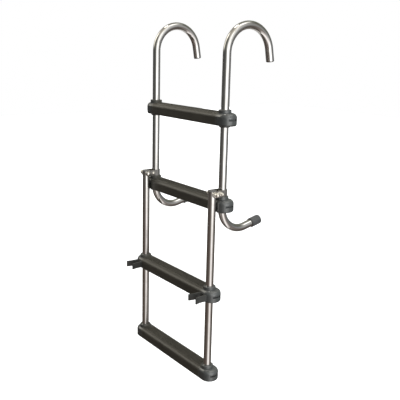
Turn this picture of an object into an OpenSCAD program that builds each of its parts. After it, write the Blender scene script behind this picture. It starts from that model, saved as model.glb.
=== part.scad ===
// Folding boat boarding ladder: two hooked rails with two treads, and a lower section of two treads that
// swings forward and up through half a turn and snaps onto the upper rails.
// Millimetres. +X runs along the treads, +Y points at the hull and +Z is up. The origin is midway between
// the two hooks, on the line through the centres of their bends.

/* [Tubes] */
// Outside diameter of every rail tube
tube_d = 22; // [20:0.5:23]
// Wall of every rail tube
tube_wall = 1.2; // [1:0.1:2]
// Distance between the axes of the left and right rails
rail_spacing = 330; // [280:5:400]

/* [Hooks] */
// Centreline radius of the hook
hook_r = 73.5; // [60:0.5:90]
// Angle through which the hook is bent
hook_bend = 169.5; // [150:0.5:180]
// Straight tail after the hook's bend
hook_tail = 32; // [16:1:60]
// Drop from the centre of the hook's bend to the middle of the first tread
hook_drop = 169; // [140:1:220]

/* [Standoffs] */
// Centreline radius of the standoff's bend
standoff_r = 66; // [50:1:80]
// Angle through which the standoff is bent
standoff_bend = 103.5; // [90:0.5:110]
// Straight tail after the standoff's bend
standoff_tail = 55; // [45:1:80]
// Length of the rubber cap
cap_len = 33; // [25:1:40]
// Outside diameter of the rubber cap
cap_d = 27; // [26:0.5:32]

/* [Treads] */
// Depth of a tread, front to back
tread_depth = 52; // [48:0.5:56]
// Height of a tread
tread_h = 34; // [30:0.5:35]
// Reach of a tread past the rail's axis
tread_overhang = 32; // [29:1:38]
// Radius along the top edges
top_round = 12; // [6:1:13]
// Radius along the bottom edges
bottom_round = 5; // [2:0.5:5.5]
// Pitch from the first tread to the second
upper_pitch = 232; // [200:1:260]
// Pitch from the second tread to the third
fold_pitch = 251; // [235:1:280]
// Pitch from the third tread to the fourth
lower_pitch = 238.5; // [200:0.5:260]
// Outside diameter of the collar round each tube
collar_d = 34.4; // [31:0.2:36]
// Height of the collar above the tread
collar_h = 8; // [5:0.5:8.5]
// Number of anti-slip ribs across a tread
grip_ribs = 9; // [5:1:11]

/* [Hinge] */
// Distance from the upper rail's axis forward to the lower rail's axis
rail_offset = 34.5; // [34:0.1:36]
// Height of the fold pivot above the middle of the second tread
pivot_rise = 34.5; // [34.5:0.5:38]
// Height of the strap
strap_h = 18; // [15:0.5:19]
// Thickness of the strap
strap_t = 2.2; // [1.5:0.1:3]
// Distance from the upper rail's axis forward to the clamp bolt
clamp_offset = 15.5; // [15:0.1:15.8]

/* [Stow clips] */
// Height of a clip
clip_h = 18; // [12:1:19]
// Reach of the prongs in front of the tread
clip_reach = 36; // [30:1:42]
// Thickness of a prong
clip_t = 4; // [2.5:0.1:4.5]
// Drop of the clip's middle below the tread's middle
clip_drop = 2.5; // [2:0.5:3.5]

/* [Hidden] */
$fn = 64;
cut = 1;
fuse = 0.1;
tube_r = tube_d / 2;
bore_r = tube_r - tube_wall;
collar_r = collar_d / 2;
rail_x = rail_spacing / 2;
fold_gap = 0.5;
tread_front = rail_offset - tube_r - fold_gap;
tread_back = tread_depth - tread_front;
tread_mid = tread_back - tread_depth / 2;
upper_y = -hook_r;
lower_y = upper_y - rail_offset;
tread_1_z = -hook_drop;
tread_2_z = tread_1_z - upper_pitch;
tread_3_z = tread_2_z - fold_pitch;
tread_4_z = tread_3_z - lower_pitch;
pivot_z = tread_2_z + pivot_rise;

// Rails: the standoff's bend begins a little below the middle of the second tread
bend_lead = 8;
standoff_z = tread_2_z - bend_lead;
bend_lap = 2;
tube_above_pivot = 7;
tube_end_z = pivot_z + tube_above_pivot;
plug_flange = 2.5;
plug_depth = 14;
plug_wall = 2;
cap_nose = 4;
cap_floor = 3;

// Treads
tip_x = rail_x + tread_overhang;
lower_collar_r = 15;
lower_collar_h = 4;
collar_round = 1.5;
collar_root = 4;
skin = 5;
wall = 3;
side_wall = 6;
boss_r = 15;
web = 2;
web_count = 7;
grip_half = 13;
grip_depth = 0.8;
grip_groove = 1.1;
grip_margin = 6;
slot_w = 26;
slot_h = 5;
slot_depth = 7;
socket_depth = 26;
relief_h = tread_h / 2 + lower_collar_h - bend_lead;
relief_gap = 0.2;
relief_r = standoff_r - sqrt(pow(standoff_r - tube_r, 2) - pow(relief_h, 2)) + relief_gap;

// Fasteners: [shank radius, head radius, head height, nut width across flats, hex height, full nut height]
pivot_fastener = [4, 7, 4.4, 13, 6.5, 15];
clamp_fastener = [3, 5.25, 3.3, 10, 5, 12];
nut_chamfer = 1;
nut_shoulder = 0.4;
hole_gap = 0.2;
hole_half = 30;
sleeve_r = 5.5;
sleeve_gap = 0.05;
screw_r = 1.9;
screw_head_r = 3.7;
screw_head_h = 2.6;
screw_head_ball = 6;
screw_head_gap = 0.4;
screw_sink = 3.6;
screw_bite = 3;

// Hinge: past the clamp nut the strap's legs step out, to clear the lower rail
strap_r = tube_r + strap_t;
leg_step = 0.5;
leg_r = strap_r + leg_step;
nut_room = 0.2;
leg_step_y = -clamp_offset - clamp_fastener[3] / sqrt(3) - nut_room - leg_step;

// Clips: y runs from the tread's front face, and the stowed rail's axis lies at -stowed_y
clip_gap = 0.5;
clip_sink = 3.6;
clip_bore_r = tube_r + clip_gap;
clip_half_w = clip_bore_r + clip_t;
stowed_y = rail_offset - tread_front;
clip_back_y = clip_bore_r - stowed_y;
lip_start = 22;
lip_flare = 3.2;
clip_head_r = 3.8;
clip_head_h = 2.2;
clip_screw_len = 10;

steel = [0.80, 0.80, 0.79];
plastic = [0.25, 0.25, 0.23];
rubber = [0.20, 0.20, 0.21];

// ---------------------------------------------------------------- placing

// Turns a drawing in the XY plane into one in the YZ plane, thickness along +X
module in_yz() {
    rotate([90, 0, 90]) children();
}

// side is -1 for the left rail and 1 for the right one; the children's +X is outward
module at_side(side, y) {
    if (side > 0) translate([rail_x, y, 0]) children();
    else mirror([1, 0, 0]) translate([rail_x, y, 0]) children();
}

module both_sides(y = 0) {
    for (side = [-1, 1]) at_side(side, y) children();
}

// ---------------------------------------------------------------- upper rails

// Places children at the end of a bend, with +Z along the tube's way out
module after_hook() {
    a = 180 - hook_bend;
    translate([0, hook_r * (1 + cos(a)), hook_r * sin(a)]) rotate([180 + a, 0, 0]) children();
}

module after_standoff() {
    a = 180 + standoff_bend;
    translate([0, standoff_r * (1 + cos(a)), standoff_z + standoff_r * sin(a)])
        rotate([a - 360, 0, 0]) children();
}

module tube_ring() {
    difference() {
        circle(tube_r);
        circle(bore_r);
    }
}

module straight_tube(r, len) {
    translate([r, 0, 0]) rotate([90, 0, 0]) linear_extrude(len) tube_ring();
}

module arc_tube(r, start, angle) {
    rotate_extrude(angle = angle, start = start) translate([r, 0]) tube_ring();
}

// A straight length standing at -r above a bend about the origin of the YZ plane, and the tail that follows
// it. The bend's two halves overlap, so each joins its own straight length squarely.
module bent_tube(r, bend, straight, tail) {
    half = bend / 2;
    in_yz() {
        rotate([0, 0, 180]) straight_tube(r, straight);
        arc_tube(r, 180, half + bend_lap);
        rotate([0, 0, 180 + bend]) {
            translate([0, tail, 0]) straight_tube(r, tail);
            arc_tube(r, -half, half);
        }
    }
}

// One bent tube: hook tail, hook, long straight, standoff and its tail
module upper_rail(side) {
    split_z = (tread_1_z + tread_2_z) / 2;
    color(steel) at_side(side, upper_y) difference() {
        union() {
            translate([0, hook_r, 0]) mirror([0, 0, 1]) bent_tube(hook_r, hook_bend, -split_z, hook_tail);
            translate([0, standoff_r, standoff_z])
                bent_tube(standoff_r, standoff_bend, split_z - standoff_z, standoff_tail);
        }
        for (z = [tread_1_z, tread_2_z]) translate([0, 0, z]) screw_hole();
    }
}

// Push-in plug for a tube that ends at z = 0, with a rounded flange as wide as the tube
module push_plug() {
    difference() {
        union() {
            intersection() {
                cylinder(r = tube_r, h = plug_flange);
                rotate_extrude() union() {
                    square([tube_r - plug_flange, plug_flange]);
                    translate([tube_r - plug_flange, 0]) circle(plug_flange);
                }
            }
            translate([0, 0, -plug_depth]) cylinder(r = bore_r, h = plug_depth + fuse);
        }
        translate([0, 0, -plug_depth - cut]) cylinder(r = bore_r - plug_wall, h = plug_depth);
    }
}

module hook_plug(side) {
    color(plastic) at_side(side, upper_y) after_hook() translate([0, 0, hook_tail]) push_plug();
}

// Rubber cap with a rounded nose, pushed over the standoff's tail
module standoff_cap(side) {
    cap_r = cap_d / 2;
    mouth_z = standoff_tail + cap_floor - cap_len;
    color(rubber) at_side(side, upper_y) after_standoff() translate([0, 0, mouth_z]) difference() {
        rotate_extrude() union() {
            square([cap_r, cap_len - cap_nose]);
            square([cap_r - cap_nose, cap_len]);
            translate([cap_r - cap_nose, cap_len - cap_nose]) circle(cap_nose);
        }
        translate([0, 0, -cut]) cylinder(r = tube_r, h = cap_len - cap_floor + cut);
    }
}

// ---------------------------------------------------------------- treads

// Half of a tread's cross-section: x outward from the middle, y up from the tread's middle height
module half_section(half_w) {
    top = tread_h / 2;
    translate([0, bottom_round - top]) square([half_w, tread_h - bottom_round - top_round]);
    translate([0, -top]) square([half_w - bottom_round, tread_h - top_round]);
    square([half_w - top_round, top]);
    translate([half_w - bottom_round, bottom_round - top]) circle(bottom_round);
    translate([half_w - top_round, top - top_round]) circle(top_round);
}

module tread_block() {
    half_w = tread_depth / 2;
    end_x = tip_x - half_w;
    translate([-end_x, 0, 0]) in_yz() linear_extrude(2 * end_x) {
        half_section(half_w);
        mirror([1, 0]) half_section(half_w);
    }
    for (side = [-1, 1])
        translate([side * end_x, 0, 0]) rotate([0, 0, -90 * side])
            rotate_extrude(angle = 180) half_section(half_w);
}

module collar(r, h) {
    rotate_extrude() union() {
        translate([0, -collar_root]) square([r, h + collar_root - collar_round]);
        square([r - collar_round, h]);
        translate([r - collar_round, h - collar_round]) circle(collar_round);
    }
}

// Cells moulded into the underside, between webs
module underside_cells() {
    half_x = rail_x - boss_r - wall;
    half_y = tread_depth / 2 - side_wall;
    cell_x = (2 * half_x - (web_count - 1) * web) / web_count;
    cell_y = half_y - web / 2;
    for (i = [0 : web_count - 1], s = [0, 1])
        translate([-half_x + i * (cell_x + web), -half_y + s * (cell_y + web), -tread_h / 2 - cut])
            cube([cell_x, cell_y, tread_h - skin + cut]);
}

// Grooves that leave the anti-slip ribs standing flush with the top
module grip_grooves() {
    pitch = 2 * grip_half / grip_ribs;
    half_x = rail_x - collar_r - grip_margin;
    for (i = [0 : grip_ribs])
        translate([-half_x, -grip_half + i * pitch - grip_groove / 2, tread_h / 2 - grip_depth])
            cube([2 * half_x, grip_groove, grip_depth + cut]);
}

module end_slot() {
    translate([tip_x - slot_depth, -slot_w / 2, -slot_h / 2]) cube([slot_depth + cut, slot_w, slot_h]);
}

// Fixing screw at a tube: enters from the hull side, along -Y
module screw_hole() {
    rotate([-90, 0, 0]) cylinder(r = screw_r, h = tread_back + cut);
}

module screw_recess() {
    translate([0, tread_back - screw_sink, 0]) rotate([-90, 0, 0])
        cylinder(r = screw_head_r + screw_head_gap, h = screw_sink + cut);
}

module tread_screw() {
    seat = tread_back - screw_sink;
    tip = bore_r - screw_bite;
    translate([0, tip, 0]) rotate([-90, 0, 0]) cylinder(r = screw_r, h = seat - tip + fuse);
    translate([0, seat, 0]) rotate([-90, 0, 0]) intersection() {
        cylinder(r = screw_head_r, h = screw_head_h);
        translate([0, 0, screw_head_h - screw_head_ball]) sphere(r = screw_head_ball);
    }
}

// through: the tubes pass right through and stand in a second collar below
module tread(through) {
    top = tread_h / 2;
    difference() {
        union() {
            translate([0, tread_mid, 0]) tread_block();
            both_sides() translate([0, 0, top]) collar(collar_r, collar_h);
            if (through) both_sides() translate([0, 0, -top]) mirror([0, 0, 1])
                collar(lower_collar_r, lower_collar_h);
        }
        translate([0, tread_mid, 0]) {
            underside_cells();
            grip_grooves();
            end_slot();
            mirror([1, 0, 0]) end_slot();
        }
        both_sides() {
            if (through) translate([0, 0, -tread_h]) cylinder(r = tube_r, h = 2 * tread_h);
            else translate([0, 0, top - socket_depth]) cylinder(r = tube_r, h = 2 * tread_h);
            screw_hole();
            screw_recess();
        }
    }
}

module tread_1() {
    color(plastic) translate([0, upper_y, tread_1_z]) tread(true);
}

// The second tread's holes open out below, where the rails start to bend
module tread_2() {
    color(plastic) translate([0, upper_y, tread_2_z]) difference() {
        tread(true);
        both_sides() translate([0, 0, -bend_lead - tread_h]) cylinder(r = relief_r, h = tread_h);
    }
}

// The third tread has a seat for each stow clip in its front face
module tread_3() {
    color(plastic) translate([0, lower_y, tread_3_z]) difference() {
        tread(true);
        both_sides() translate([0, -tread_front, -clip_drop]) {
            translate([-clip_half_w, -cut, -clip_h / 2]) cube([2 * clip_half_w, clip_sink + cut, clip_h]);
            clip_screw_shank();
        }
    }
}

module tread_4() {
    color(plastic) translate([0, lower_y, tread_4_z]) tread(false);
}

// ---------------------------------------------------------------- hinge

// One strap wraps the upper rail from behind and its two legs carry the pivot in front
module hinge_strap(side) {
    color(steel) at_side(side, upper_y) translate([0, 0, pivot_z]) difference() {
        intersection() {
            translate([0, 0, -strap_h / 2]) linear_extrude(strap_h) strap_plan();
            translate([-2 * strap_r, 0, 0]) in_yz() linear_extrude(4 * strap_r) strap_elevation();
        }
        cross_hole(-clamp_offset, clamp_fastener[0] + hole_gap);
        cross_hole(-rail_offset, pivot_fastener[0] + hole_gap);
    }
}

module strap_plan() {
    front = -rail_offset - strap_h;
    leg_inner = tube_r + leg_step;
    difference() {
        union() {
            circle(strap_r);
            translate([-strap_r, leg_step_y]) square([2 * strap_r, -leg_step_y]);
            translate([-leg_r, front]) square([2 * leg_r, leg_step_y + leg_step - front]);
        }
        circle(tube_r);
        translate([-tube_r, leg_step_y - cut]) square([tube_d, cut - leg_step_y]);
        translate([-leg_inner, front - cut]) square([2 * leg_inner, leg_step_y - front + cut]);
    }
}

module strap_elevation() {
    translate([-rail_offset, 0]) circle(strap_h / 2);
    translate([-rail_offset, -strap_h / 2]) square([rail_offset + 2 * strap_r, strap_h]);
}

module cross_hole(y, r) {
    translate([-hole_half, y, 0]) rotate([0, 90, 0]) cylinder(r = r, h = 2 * hole_half);
}

// Domed head inside the ladder, shank outward through both legs
module bolt(y, leg, f) {
    translate([0, y, 0]) rotate([0, 90, 0]) {
        translate([0, 0, -leg]) cylinder(r = f[0], h = 2 * leg + f[4]);
        translate([0, 0, -leg - f[2]]) dome(f[1], f[2]);
    }
}

// Slice of a ball with its top at z = 0 and its flat side, of radius r, at z = h
module dome(r, h) {
    ball = (r * r + h * h) / (2 * h);
    intersection() {
        translate([0, 0, ball]) sphere(r = ball);
        cylinder(r = r, h = h);
    }
}

// Hexagon with a domed cap, bored for the shank
module cap_nut(y, leg, f) {
    hex_r = f[3] / sqrt(3);
    dome_r = f[3] / 2 - nut_shoulder;
    translate([leg, y, 0]) rotate([0, 90, 0]) difference() {
        union() {
            intersection() {
                cylinder(r = hex_r, h = f[4], $fn = 6);
                translate([0, 0, f[4] + nut_chamfer - 2 * hex_r]) sphere(r = 2 * hex_r);
            }
            cylinder(r = dome_r, h = f[5] - dome_r);
            translate([0, 0, f[5] - dome_r]) intersection() {
                sphere(r = dome_r);
                cylinder(r = 2 * dome_r, h = dome_r);
            }
        }
        translate([0, 0, -cut]) cylinder(r = f[0], h = f[4] + cut);
    }
}

module pivot_bolts() {
    color(steel) translate([0, 0, pivot_z]) both_sides(upper_y)
        bolt(-rail_offset, leg_r, pivot_fastener);
}

module pivot_cap_nuts() {
    color(steel) translate([0, 0, pivot_z]) both_sides(upper_y)
        cap_nut(-rail_offset, leg_r, pivot_fastener);
}

module clamp_bolts() {
    color(steel) translate([0, 0, pivot_z]) both_sides(upper_y)
        bolt(-clamp_offset, strap_r, clamp_fastener);
}

module clamp_cap_nuts() {
    color(steel) translate([0, 0, pivot_z]) both_sides(upper_y)
        cap_nut(-clamp_offset, strap_r, clamp_fastener);
}

module upper_tread_screws() {
    color(steel) for (z = [tread_1_z, tread_2_z]) translate([0, upper_y, z]) both_sides() tread_screw();
}

// ---------------------------------------------------------------- lower section

module lower_rail(side) {
    foot_z = tread_4_z + tread_h / 2 - socket_depth;
    color(steel) at_side(side, lower_y) difference() {
        translate([0, 0, foot_z]) cylinder(r = tube_r, h = tube_end_z - foot_z);
        translate([0, 0, foot_z - cut]) cylinder(r = bore_r, h = tube_end_z - foot_z + 2 * cut);
        translate([0, 0, pivot_z]) cross_hole(0, sleeve_r);
        for (z = [tread_3_z, tread_4_z]) translate([0, 0, z]) screw_hole();
    }
}

// The shank of this plug is notched over the pivot sleeve
module rail_plug(side) {
    color(plastic) at_side(side, lower_y) translate([0, 0, tube_end_z]) difference() {
        push_plug();
        translate([0, 0, pivot_z - tube_end_z]) cross_hole(0, sleeve_r);
    }
}

module pivot_sleeve(side) {
    color(steel) at_side(side, lower_y) translate([-tube_r, 0, pivot_z]) rotate([0, 90, 0]) difference() {
        cylinder(r = sleeve_r, h = tube_d);
        translate([0, 0, -cut]) cylinder(r = pivot_fastener[0] + sleeve_gap, h = tube_d + 2 * cut);
    }
}

// Drawn in plan with the tread's front face at y = 0 and the prongs along -y
module clip_plan() {
    inside = [[clip_bore_r, -stowed_y], [clip_bore_r, -lip_start], [clip_bore_r + lip_flare, -clip_reach]];
    outside = [[clip_half_w + lip_flare, -clip_reach], [clip_half_w, -lip_start], [clip_half_w, clip_sink]];
    right = concat(inside, outside);
    left = [for (i = [len(right) - 1 : -1 : 0]) [-right[i][0], right[i][1]]];
    difference() {
        polygon(concat(right, left));
        translate([0, -stowed_y]) circle(clip_bore_r);
    }
}

module clip_screw_shank() {
    rotate([-90, 0, 0]) translate([0, 0, -stowed_y]) cylinder(r = screw_r, h = clip_screw_len + stowed_y);
}

// Countersunk head, flush with the deepest line of the clip's bore
module clip_screw_head() {
    translate([0, clip_back_y + clip_head_h, 0]) rotate([90, 0, 0])
        cylinder(r1 = screw_r, r2 = clip_head_r, h = clip_head_h);
}

module stow_clip(side) {
    color(plastic) at_side(side, lower_y - tread_front) translate([0, 0, tread_3_z - clip_drop])
        difference() {
            translate([0, 0, -clip_h / 2]) linear_extrude(clip_h) clip_plan();
            clip_screw_shank();
            clip_screw_head();
            translate([0, clip_back_y + fuse, 0]) rotate([90, 0, 0]) cylinder(r = clip_head_r, h = clip_head_h);
        }
}

module stow_clip_screws() {
    color(steel) both_sides(lower_y - tread_front) translate([0, 0, tread_3_z - clip_drop]) {
        clip_screw_head();
        translate([0, clip_back_y + fuse, 0]) rotate([-90, 0, 0])
            cylinder(r = screw_r, h = clip_screw_len - clip_back_y - fuse);
    }
}

module lower_tread_screws() {
    color(steel) for (z = [tread_3_z, tread_4_z]) translate([0, lower_y, z]) both_sides() tread_screw();
}

upper_rail(-1);  // left_upper_rail
upper_rail(1);  // right_upper_rail
hook_plug(-1);  // left_hook_plug
hook_plug(1);  // right_hook_plug
standoff_cap(-1);  // left_standoff_cap
standoff_cap(1);  // right_standoff_cap
tread_1();
tread_2();
hinge_strap(-1);  // left_hinge_strap
hinge_strap(1);  // right_hinge_strap
pivot_bolts();
pivot_cap_nuts();
clamp_bolts();
clamp_cap_nuts();
upper_tread_screws();
lower_rail(-1);  // left_lower_rail
lower_rail(1);  // right_lower_rail
rail_plug(-1);  // left_rail_plug
rail_plug(1);  // right_rail_plug
pivot_sleeve(-1);  // left_pivot_sleeve
pivot_sleeve(1);  // right_pivot_sleeve
tread_3();
tread_4();
stow_clip(-1);  // left_stow_clip
stow_clip(1);  // right_stow_clip
stow_clip_screws();
lower_tread_screws();
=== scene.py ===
"""Boat boarding ladder: materials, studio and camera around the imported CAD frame. Metres, row frame."""

import math

import bpy
from mathutils import Matrix, Vector


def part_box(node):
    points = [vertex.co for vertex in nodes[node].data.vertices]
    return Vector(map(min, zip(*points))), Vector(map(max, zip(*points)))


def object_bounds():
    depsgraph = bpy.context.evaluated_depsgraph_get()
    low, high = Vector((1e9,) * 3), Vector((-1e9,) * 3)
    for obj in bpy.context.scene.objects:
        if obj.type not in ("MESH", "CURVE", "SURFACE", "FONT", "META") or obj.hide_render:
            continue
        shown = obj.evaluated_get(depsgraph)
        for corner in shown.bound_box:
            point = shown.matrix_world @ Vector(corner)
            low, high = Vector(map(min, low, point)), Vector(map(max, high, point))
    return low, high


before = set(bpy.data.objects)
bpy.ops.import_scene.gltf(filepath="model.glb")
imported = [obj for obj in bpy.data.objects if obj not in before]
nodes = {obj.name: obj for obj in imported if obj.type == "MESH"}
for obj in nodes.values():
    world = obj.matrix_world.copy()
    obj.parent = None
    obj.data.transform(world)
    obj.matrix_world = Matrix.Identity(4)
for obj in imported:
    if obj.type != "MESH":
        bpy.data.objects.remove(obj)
cad_box = [list(v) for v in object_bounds()]
low, high = Vector(cad_box[0]), Vector(cad_box[1])
centre = (low + high) / 2
scene = bpy.context.scene
MM = 0.001

# ---------------------------------------------------------------- camera
CAM_AT = Vector((1.4502, -1.1263, 0.0131))
CAM_AZIMUTH = math.radians(52.74)
CAM_PITCH = math.radians(13.62)
CAM_ROLL = math.radians(1.466)
CAM_LENS, SENSOR = 56.69, 36.0
CLIP_NEAR, CLIP_FAR = 0.01, 200.0


def look_axes(azimuth, pitch, roll):
    """The camera's right, up and forward vectors; azimuth 0 looks along +Y."""
    forward = Vector((-math.sin(azimuth) * math.cos(pitch),
                      math.cos(azimuth) * math.cos(pitch),
                      -math.sin(pitch)))
    level = Vector((math.cos(azimuth), math.sin(azimuth), 0))
    up = level.cross(forward)
    right = math.cos(roll) * level + math.sin(roll) * up
    return right, math.cos(roll) * up - math.sin(roll) * level, forward


right, up, forward = look_axes(CAM_AZIMUTH, CAM_PITCH, CAM_ROLL)
camera = bpy.data.objects.new("camera", bpy.data.cameras.new("camera"))
scene.collection.objects.link(camera)
camera.matrix_world = Matrix.Translation(CAM_AT) @ Matrix((right, up, -forward)).transposed().to_4x4()
camera.data.lens = CAM_LENS
camera.data.sensor_width = SENSOR
camera.data.clip_start = CLIP_NEAR
camera.data.clip_end = CLIP_FAR
scene.camera = camera

# ---------------------------------------------------------------- node helpers
# A noise stays mostly between these two values
NOISE_LOW, NOISE_HIGH = 0.3, 0.7


def rgb(r, g, b):
    return (r, g, b, 1.0)


class Nodes:
    """A node tree, with short calls for the nodes used here. A value is a constant or a node's output."""

    def __init__(self, tree):
        self.tree = tree

    def put(self, value, socket):
        if isinstance(value, bpy.types.NodeSocket):
            self.tree.links.new(value, socket)
        else:
            socket.default_value = value

    def node(self, kind, inputs=None, **settings):
        n = self.tree.nodes.new(kind)
        for key, value in settings.items():
            setattr(n, key, value)
        for key, value in (inputs or {}).items():
            self.put(value, n.inputs[key])
        return n

    def coords(self, kind):
        return self.node("ShaderNodeTexCoord").outputs[kind]

    def scaled(self, vector, scale):
        return self.node("ShaderNodeMapping", {"Vector": vector, "Scale": scale}).outputs[0]

    def split(self, vector):
        return self.node("ShaderNodeSeparateXYZ", {"Vector": vector}).outputs

    def noise(self, vector, scale, detail=3.0, rough=0.5, distortion=0.0):
        """Scale is in blotches per metre."""
        return self.node("ShaderNodeTexNoise", {"Vector": vector, "Scale": scale, "Detail": detail,
                                                "Roughness": rough, "Distortion": distortion}).outputs["Fac"]

    def math(self, operation, a, b=0.0, clamp=False):
        return self.node("ShaderNodeMath", {0: a, 1: b}, operation=operation, use_clamp=clamp).outputs[0]

    def weighted(self, a, share, b):
        """A share of a, and the rest of b."""
        return self.math("ADD", self.math("MULTIPLY", a, share), self.math("MULTIPLY", b, 1 - share))

    def remap(self, value, from_low, from_high, to_low=0.0, to_high=1.0, smooth=False):
        return self.node("ShaderNodeMapRange", {"Value": value, "From Min": from_low, "From Max": from_high,
                                                "To Min": to_low, "To Max": to_high},
                         interpolation_type="SMOOTHSTEP" if smooth else "LINEAR").outputs[0]

    def spread(self, noise, to_low, to_high):
        """The usual range of a noise, stretched over to_low to to_high."""
        return self.remap(noise, NOISE_LOW, NOISE_HIGH, to_low, to_high)

    def mix(self, factor, a, b):
        """Inputs 6 and 7 and output 2 are the colour ones."""
        return self.node("ShaderNodeMix", {"Factor": factor, 6: a, 7: b}, data_type="RGBA").outputs[2]

    def bump(self, height, strength, distance, normal=None):
        n = self.node("ShaderNodeBump", {"Height": height, "Strength": strength, "Distance": distance})
        if normal is not None:
            self.put(normal, n.inputs["Normal"])
        return n.outputs[0]


class Shader(Nodes):
    """The node tree of a new material."""

    def __init__(self, name):
        self.material = bpy.data.materials.new(name)
        self.material.use_nodes = True
        super().__init__(self.material.node_tree)
        self.tree.nodes.clear()
        self.out = self.tree.nodes.new("ShaderNodeOutputMaterial")

    def surface(self, **inputs):
        named = {key.replace("_", " "): value for key, value in inputs.items()}
        self.put(self.node("ShaderNodeBsdfPrincipled", named).outputs[0], self.out.inputs[0])
        return self.material

    def glow(self, colour):
        self.put(self.node("ShaderNodeEmission", {"Color": colour}).outputs[0], self.out.inputs[0])
        self.material.cycles.emission_sampling = "NONE"
        return self.material


# ---------------------------------------------------------------- metals
# Each pair of colours is blended by a noise
TUBE_STEEL = (0.74, 0.73, 0.715), (0.66, 0.645, 0.62)
STRAP_STEEL = (0.66, 0.65, 0.63), (0.46, 0.45, 0.43)
FASTENER_STEEL = (0.93, 0.90, 0.84), (0.82, 0.78, 0.70)
FASTENER_GLOSS = 0.2, 0.34
RIPPLE_DEPTH = 0.6 * MM
BUFFING_DEPTH = 0.04 * MM
RING_DEPTH = 0.05 * MM
RING_PHASE = 12000.0      # radians per metre of radius, which puts the rings 0.5 mm apart


def polished_metal(name, colours, gloss, grain, ripple):
    """Polished stainless: faint smudges in colour and gloss, buffing lines along `grain`, and a slight
    ripple that breaks up the edges of reflections. gloss is the least and greatest roughness."""
    s = Shader(name)
    at = s.coords("Object")
    smudge = s.noise(at, 26.0, detail=4.0, rough=0.6, distortion=0.4)
    spots = s.noise(at, 190.0, rough=0.55)
    lines = s.noise(s.scaled(at, grain), 1.0, detail=2.0)
    light, dark = colours
    colour = s.mix(s.remap(smudge, 0.35, 0.68), rgb(*light), rgb(*dark))
    wear = s.weighted(smudge, 0.6, spots)
    normal = s.bump(s.noise(at, 55.0, detail=2.0), ripple, RIPPLE_DEPTH)
    normal = s.bump(lines, 0.05, BUFFING_DEPTH, normal)
    return s.surface(Base_Color=colour, Metallic=1.0, Roughness=s.spread(wear, *gloss), Normal=normal)


def turned_metal(name, centre_y, centre_z):
    """Fasteners: polished, with faint rings about an axis along X."""
    s = Shader(name)
    at = s.coords("Object")
    x, y, z = s.split(at)
    dy, dz = s.math("SUBTRACT", y, centre_y), s.math("SUBTRACT", z, centre_z)
    radius = s.math("SQRT", s.math("ADD", s.math("MULTIPLY", dy, dy), s.math("MULTIPLY", dz, dz)))
    rings = s.math("SINE", s.math("MULTIPLY", radius, RING_PHASE))
    smudge = s.noise(at, 140.0, rough=0.6)
    light, dark = FASTENER_STEEL
    colour = s.mix(s.remap(smudge, 0.35, 0.7), rgb(*light), rgb(*dark))
    return s.surface(Base_Color=colour, Metallic=1.0, Roughness=s.spread(smudge, *FASTENER_GLOSS),
                     Normal=s.bump(rings, 0.06, RING_DEPTH))


# ---------------------------------------------------------------- plastics and rubber
TREAD_PLASTIC = (0.031, 0.0285, 0.0225), (0.049, 0.0445, 0.035)
TREAD_GLOSS = 0.30, 0.44
TREAD_SCUFF = (0.1051, 0.09655, 0.0785)
TREAD_DUST = (0.1129, 0.098, 0.069)
CLIP_PLASTIC = (0.028, 0.028, 0.026), (0.043, 0.042, 0.039)
RAIL_PLUG_PLASTIC = (0.085, 0.083, 0.080), (0.125, 0.122, 0.117)
HOOK_PLUG_PLASTIC = (0.010, 0.010, 0.010), (0.020, 0.020, 0.019)
CAP_RUBBER = (0.030, 0.030, 0.031), (0.058, 0.057, 0.056)
GRAIN_DEPTH = 0.12 * MM
SINK_DEPTH = 0.4 * MM
PLASTIC_IOR = 1.49
PLASTIC_SHINE = 0.5

# The tread's collars stand this far above its top face
COLLAR_H = 8 * MM
# Half the width of the ribbed band on its top, and how far its edge fades
BAND_HALF = 13.2 * MM
BAND_FADE = 1.0 * MM
# Dust lies from the first of these depths below the top face, and is full at the second
DUST_FROM, DUST_FULL = 0.2 * MM, 0.7 * MM
# The tread's two ends are shinier than its middle, and carry a cooler, paler colour that is painted sheen
END_LENGTH = 51 * MM
END_FADE = 20 * MM
END_PAINTED_SHEEN = (0.050, 0.053, 0.053)
END_PAINTED_SHEEN_SHARE = 0.85
END_SMOOTHER = 0.15
END_SHINE = 1.0


def mottled(s, at, colours, gloss):
    """A moulding's clouded colour and roughness, and the cloud that they come from."""
    cloud = s.noise(at, 18.0, detail=4.0, rough=0.6, distortion=0.3)
    fleck = s.noise(at, 420.0, rough=0.6)
    tone = s.weighted(cloud, 0.55, fleck)
    deep, pale = colours
    return cloud, s.mix(s.remap(tone, 0.33, 0.68), rgb(*deep), rgb(*pale)), s.spread(tone, *gloss)


def pebbled(s, at, cloud, colour, roughness, shine):
    """The finished material, with a moulding's fine pebble grain and faint sink marks."""
    normal = s.bump(s.noise(at, 1300.0, detail=2.0), 0.22, GRAIN_DEPTH)
    normal = s.bump(cloud, 0.10, SINK_DEPTH, normal)
    return s.surface(Base_Color=colour, Roughness=roughness, Normal=normal, IOR=PLASTIC_IOR,
                     Specular_IOR_Level=shine)


def moulded_plastic(name, colours, gloss):
    s = Shader(name)
    at = s.coords("Object")
    cloud, colour, roughness = mottled(s, at, colours, gloss)
    return pebbled(s, at, cloud, colour, roughness, PLASTIC_SHINE)


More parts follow.
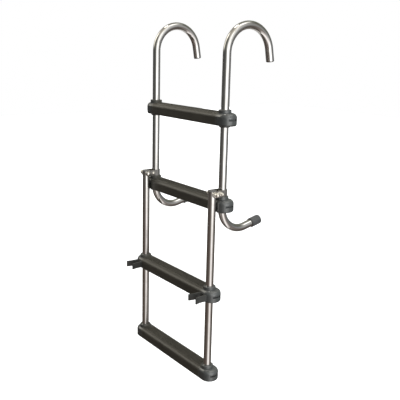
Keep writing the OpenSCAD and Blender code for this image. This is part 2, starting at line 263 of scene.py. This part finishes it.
def tread_plastic(name, box_low, box_high):
    """Charcoal moulding, scuffed where it faces up, dull and dusty between its ribs, shinier at its ends,
    with painted sheen there in a paler, cooler colour.
    """
    s = Shader(name)
    at = s.coords("Object")
    x, y, z = s.split(at)
    cloud, colour, roughness = mottled(s, at, TREAD_PLASTIC, TREAD_GLOSS)

    upward = s.remap(s.split(s.coords("Normal"))[2], 0.55, 0.9, smooth=True)
    reach = s.math("ABSOLUTE", s.math("SUBTRACT", y, (box_low.y + box_high.y) / 2))
    band = s.math("MULTIPLY", upward, s.remap(reach, BAND_HALF + BAND_FADE, BAND_HALF, smooth=True))
    top = box_high.z - COLLAR_H
    sunk = s.math("MULTIPLY", band, s.remap(z, top - DUST_FROM, top - DUST_FULL))
    streak = s.noise(s.scaled(at, (14.0, 260.0, 260.0)), 1.0, detail=4.0, rough=0.65)
    scuff = s.math("MULTIPLY", upward, s.remap(streak, 0.56, 0.74, 0.0, 0.5))
    colour = s.mix(scuff, colour, rgb(*TREAD_SCUFF))
    colour = s.mix(s.math("MULTIPLY", sunk, s.spread(cloud, 0.25, 0.8)), colour, rgb(*TREAD_DUST))
    roughness = s.math("ADD", roughness, s.math("MULTIPLY", band, 0.12), clamp=True)

    end_from = box_high.x - END_LENGTH
    end = s.remap(s.math("ABSOLUTE", x), end_from, end_from + END_FADE, smooth=True)
    roughness = s.math("SUBTRACT", roughness, s.math("MULTIPLY", end, END_SMOOTHER))
    # painted sheen: the ends are blended towards a paler, cooler colour that stands in for their glossy
    # highlight
    colour = s.mix(s.math("MULTIPLY", end, END_PAINTED_SHEEN_SHARE), colour, rgb(*END_PAINTED_SHEEN))
    shine = s.remap(end, 0.0, 1.0, PLASTIC_SHINE, END_SHINE)
    return pebbled(s, at, cloud, colour, roughness, shine)


def rubber(name, colours):
    """Dull grey rubber with a fine grain and paler rubbed patches."""
    s = Shader(name)
    at = s.coords("Object")
    cloud = s.noise(at, 60.0, detail=4.0, rough=0.6, distortion=0.5)
    deep, pale = colours
    colour = s.mix(s.remap(cloud, 0.35, 0.7), rgb(*deep), rgb(*pale))
    normal = s.bump(s.noise(at, 1700.0, detail=2.0), 0.25, GRAIN_DEPTH)
    return s.surface(Base_Color=colour, Roughness=s.spread(cloud, 0.42, 0.6), Normal=normal,
                     Sheen_Weight=0.12, Sheen_Roughness=0.5)


# ---------------------------------------------------------------- materials on the CAD nodes
tube = polished_metal("tube_steel", TUBE_STEEL, gloss=(0.035, 0.085), grain=(2600.0, 2600.0, 26.0),
                      ripple=0.26)
strap = polished_metal("strap_steel", STRAP_STEEL, gloss=(0.10, 0.22), grain=(900.0, 30.0, 900.0),
                       ripple=0.14)
screw = turned_metal("screw_steel", 0.0, 0.0)
pivot_low, pivot_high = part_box("pivot_bolts")
clamp_low, clamp_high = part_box("clamp_bolts")
pivot = turned_metal("pivot_steel", (pivot_low.y + pivot_high.y) / 2, (pivot_low.z + pivot_high.z) / 2)
clamp = turned_metal("clamp_steel", (clamp_low.y + clamp_high.y) / 2, (clamp_low.z + clamp_high.z) / 2)
clip = moulded_plastic("clip_plastic", CLIP_PLASTIC, (0.32, 0.46))
plug = moulded_plastic("plug_plastic", RAIL_PLUG_PLASTIC, (0.38, 0.52))
hook_plug = moulded_plastic("hook_plug_plastic", HOOK_PLUG_PLASTIC, (0.36, 0.50))
cap = rubber("cap_rubber", CAP_RUBBER)

looks = {
    "pivot_bolts": pivot, "pivot_cap_nuts": pivot, "clamp_bolts": clamp, "clamp_cap_nuts": clamp,
    "upper_tread_screws": screw, "lower_tread_screws": screw, "stow_clip_screws": screw,
}
for side in ("left", "right"):
    looks.update({
        f"{side}_upper_rail": tube, f"{side}_lower_rail": tube, f"{side}_hinge_strap": strap,
        f"{side}_pivot_sleeve": screw, f"{side}_stow_clip": clip, f"{side}_rail_plug": plug,
        f"{side}_hook_plug": hook_plug, f"{side}_standoff_cap": cap,
    })
for number in (1, 2, 3, 4):
    name = f"tread_{number}"
    tread_low, tread_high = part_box(name)
    looks[name] = tread_plastic(f"{name}_plastic", tread_low, tread_high)
for name, material in looks.items():
    nodes[name].data.materials.clear()
    nodes[name].data.materials.append(material)
plain = sorted(set(nodes) - set(looks))
if plain:
    raise SystemExit(f"no material for {plain}")

# ---------------------------------------------------------------- studio
# Azimuths here are in degrees from the camera's side of the ladder, positive to the camera's right
FRONT = math.atan2(CAM_AT.y - centre.y, CAM_AT.x - centre.x)

GROUND_LIGHT = (0.10, 0.098, 0.095)
SKY_LIGHT = (0.72, 0.72, 0.71)
SKY_FROM, SKY_FULL = -0.25, 0.45      # sines of the elevations that the change runs between

FLOOR_DROP = 300 * MM     # the ladder hangs clear of the floor
FLOOR_HALF = 9.0          # its corners stay inside the backdrop
FLOOR_PAINT = (0.93, 0.93, 0.93)
BACKDROP_RADIUS = 16.0
ROOM_RADIUS = 12.0
BALL_RINGS, BALL_SLICES = 24, 48

scene.view_settings.view_transform = "Standard"
world = bpy.data.worlds.new("studio")
world.use_nodes = True
world.cycles.sampling_method = "NONE"
scene.world = world
sky = Nodes(world.node_tree)
rise = sky.split(sky.coords("Generated"))[2]
sky.put(sky.mix(sky.remap(rise, SKY_FROM, SKY_FULL, smooth=True), rgb(*GROUND_LIGHT), rgb(*SKY_LIGHT)),
        world.node_tree.nodes["Background"].inputs["Color"])


def only_seen_by(obj, camera=False, glossy=False):
    obj.visible_camera = camera
    obj.visible_glossy = glossy
    obj.visible_diffuse = False
    obj.visible_transmission = False
    obj.visible_volume_scatter = False
    obj.visible_shadow = False


def ball(name, radius, material):
    """A sphere about the ladder's centre."""
    rings = [math.pi * i / BALL_RINGS for i in range(BALL_RINGS + 1)]
    slices = [2 * math.pi * j / BALL_SLICES for j in range(BALL_SLICES)]
    verts = [(radius * math.sin(ring) * math.cos(turn), radius * math.sin(ring) * math.sin(turn),
              radius * math.cos(ring)) for ring in rings for turn in slices]
    faces = []
    for i in range(BALL_RINGS):
        here, below = i * BALL_SLICES, (i + 1) * BALL_SLICES
        for j in range(BALL_SLICES):
            beside = (j + 1) % BALL_SLICES
            faces.append((here + j, here + beside, below + beside, below + j))
    mesh = bpy.data.meshes.new(name)
    mesh.from_pydata(verts, [], faces)
    mesh.materials.append(material)
    obj = bpy.data.objects.new(name, mesh)
    obj.location = centre
    scene.collection.objects.link(obj)
    return obj


def towards(azimuth, elevation):
    turn, rise = FRONT + math.radians(azimuth), math.radians(elevation)
    return Vector((math.cos(turn) * math.cos(rise), math.sin(turn) * math.cos(rise), math.sin(rise)))


floor_mesh = bpy.data.meshes.new("floor")
floor_mesh.from_pydata([(sx * FLOOR_HALF, sy * FLOOR_HALF, low.z - FLOOR_DROP) for sx, sy in
                        ((-1, -1), (1, -1), (1, 1), (-1, 1))], [], [(0, 1, 2, 3)])
floor = bpy.data.objects.new("floor", floor_mesh)
scene.collection.objects.link(floor)
paint = Shader("floor_paint").surface(Base_Color=rgb(*FLOOR_PAINT), Specular_IOR_Level=0.0)
floor_mesh.materials.append(paint)
floor.visible_glossy = False
floor.visible_diffuse = False

backdrop = ball("backdrop", BACKDROP_RADIUS, Shader("backdrop_light").glow(rgb(1.0, 1.0, 1.0)))
only_seen_by(backdrop, camera=True)

# ---------------------------------------------------------------- what the steel mirrors
# A dark warm room with one wide window beside the camera and a dimmer one behind the ladder, in bands
# from the floor to the ceiling. Each band is a list of (azimuth, colour).
BELOW = [
    (-180, (0.66, 0.64, 0.62)), (-160, (0.54, 0.52, 0.50)), (-140, (0.09, 0.075, 0.065)),
    (-80, (0.085, 0.066, 0.056)), (-36, (0.14, 0.115, 0.10)), (-12, (0.30, 0.26, 0.24)),
    (6, (1.05, 1.0, 0.98)), (30, (1.45, 1.40, 1.38)), (48, (0.75, 0.70, 0.68)),
    (64, (0.26, 0.23, 0.215)), (90, (0.13, 0.112, 0.104)), (142, (0.10, 0.088, 0.08)),
    (162, (0.50, 0.48, 0.46)), (180, (0.66, 0.64, 0.62)),
]
LEVEL = [
    (-180, (0.13, 0.13, 0.12)), (-140, (0.09, 0.09, 0.085)), (-75, (0.085, 0.085, 0.08)),
    (-34, (0.13, 0.13, 0.125)), (-10, (0.50, 0.50, 0.48)), (6, (1.8, 1.8, 1.77)),
    (28, (2.5, 2.5, 2.46)), (48, (1.7, 1.7, 1.68)), (66, (0.42, 0.42, 0.42)),
    (92, (0.20, 0.205, 0.205)), (140, (0.17, 0.17, 0.17)), (180, (0.13, 0.13, 0.12)),
]
ABOVE = [
    (-180, (0.26, 0.26, 0.22)), (-150, (0.34, 0.32, 0.27)), (-126, (0.85, 0.81, 0.71)),
    (-110, (3.3, 3.15, 2.75)), (-96, (0.9, 0.86, 0.76)), (-80, (0.15, 0.15, 0.13)),
    (-36, (0.18, 0.18, 0.16)), (-12, (0.7, 0.69, 0.66)), (2, (1.9, 1.88, 1.82)),
    (10, (0.55, 0.54, 0.50)), (18, (2.0, 2.0, 1.95)), (30, (1.9, 1.9, 1.87)),
    (38, (0.6, 0.6, 0.57)), (46, (1.3, 1.3, 1.28)), (58, (0.7, 0.7, 0.69)),
    (100, (0.16, 0.16, 0.14)), (150, (0.22, 0.23, 0.19)), (180, (0.30, 0.30, 0.27)),
]
CEILING = [
    (-180, (0.30, 0.29, 0.25)), (-100, (0.40, 0.37, 0.32)), (-30, (0.55, 0.52, 0.46)),
    (8, (0.85, 0.80, 0.70)), (50, (1.4, 1.36, 1.28)), (80, (2.3, 2.27, 2.2)),
    (108, (0.9, 0.9, 0.86)), (134, (0.30, 0.31, 0.26)), (180, (0.30, 0.29, 0.25)),
]
# Sines of the elevations where one band starts to give way to the next, and where it has
TO_BELOW = -0.10, -0.33
TO_ABOVE = 0.06, 0.34
TO_CEILING = 0.66, 0.84
# A small lamp high behind the ladder, for a sparkle on the hooks' bends
GLINT_AZIMUTH, GLINT_ELEVATION = -142.0, 72.0
GLINT_RIM, GLINT_CORE = math.cos(math.radians(8)), math.cos(math.radians(4))
GLINT_LIGHT = (9.0, 8.7, 8.0)


def room_light():
    s = Shader("room_light")
    ray = s.node("ShaderNodeVectorMath", {0: s.coords("Object")}, operation="NORMALIZE").outputs[0]
    x, y, z = s.split(ray)
    cos_f, sin_f = math.cos(FRONT), math.sin(FRONT)
    along = s.math("ADD", s.math("MULTIPLY", x, cos_f), s.math("MULTIPLY", y, sin_f))
    across = s.math("SUBTRACT", s.math("MULTIPLY", y, cos_f), s.math("MULTIPLY", x, sin_f))
    turn = s.math("ADD", s.math("DIVIDE", s.math("ARCTAN2", across, along), 2 * math.pi), 0.5)

    def ramp(stops):
        n = s.node("ShaderNodeValToRGB", {"Fac": turn})
        n.color_ramp.interpolation = "EASE"
        while len(n.color_ramp.elements) < len(stops):
            n.color_ramp.elements.new(0.5)
        for element, (degrees, colour) in zip(n.color_ramp.elements, stops):
            element.position = (degrees + 180) / 360
            element.color = rgb(*colour)
        return n.outputs["Color"]

    colour = s.mix(s.remap(z, *TO_BELOW, smooth=True), ramp(LEVEL), ramp(BELOW))
    colour = s.mix(s.remap(z, *TO_ABOVE, smooth=True), colour, ramp(ABOVE))
    colour = s.mix(s.remap(z, *TO_CEILING, smooth=True), colour, ramp(CEILING))
    glint = towards(GLINT_AZIMUTH, GLINT_ELEVATION)
    aim = s.node("ShaderNodeVectorMath", {0: ray, 1: glint}, operation="DOT_PRODUCT").outputs["Value"]
    return s.glow(s.mix(s.remap(aim, GLINT_RIM, GLINT_CORE, smooth=True), colour, rgb(*GLINT_LIGHT)))


only_seen_by(ball("reflected_room", ROOM_RADIUS, room_light()), glossy=True)

# ---------------------------------------------------------------- lamps
# name, azimuth, elevation, strength, width in degrees, colour
SUNS = [
    ("key", 30, 66, 2.45, 34, (1.0, 1.0, 1.0)),
    ("side", 52, 8, 3.4, 30, (0.88, 0.96, 1.0)),
    ("fill", -50, 35, 0.22, 60, (1.0, 1.0, 1.0)),
    ("back", 170, 55, 0.7, 50, (1.0, 1.0, 1.0)),
]
for name, azimuth, elevation, strength, width, colour in SUNS:
    lamp = bpy.data.lights.new(name, "SUN")
    lamp.energy = strength
    lamp.angle = math.radians(width)
    lamp.color = colour
    obj = bpy.data.objects.new(name, lamp)
    obj.rotation_mode = "QUATERNION"
    obj.rotation_quaternion = towards(azimuth, elevation).to_track_quat("Z", "Y")
    obj.visible_glossy = False
    scene.collection.objects.link(obj)
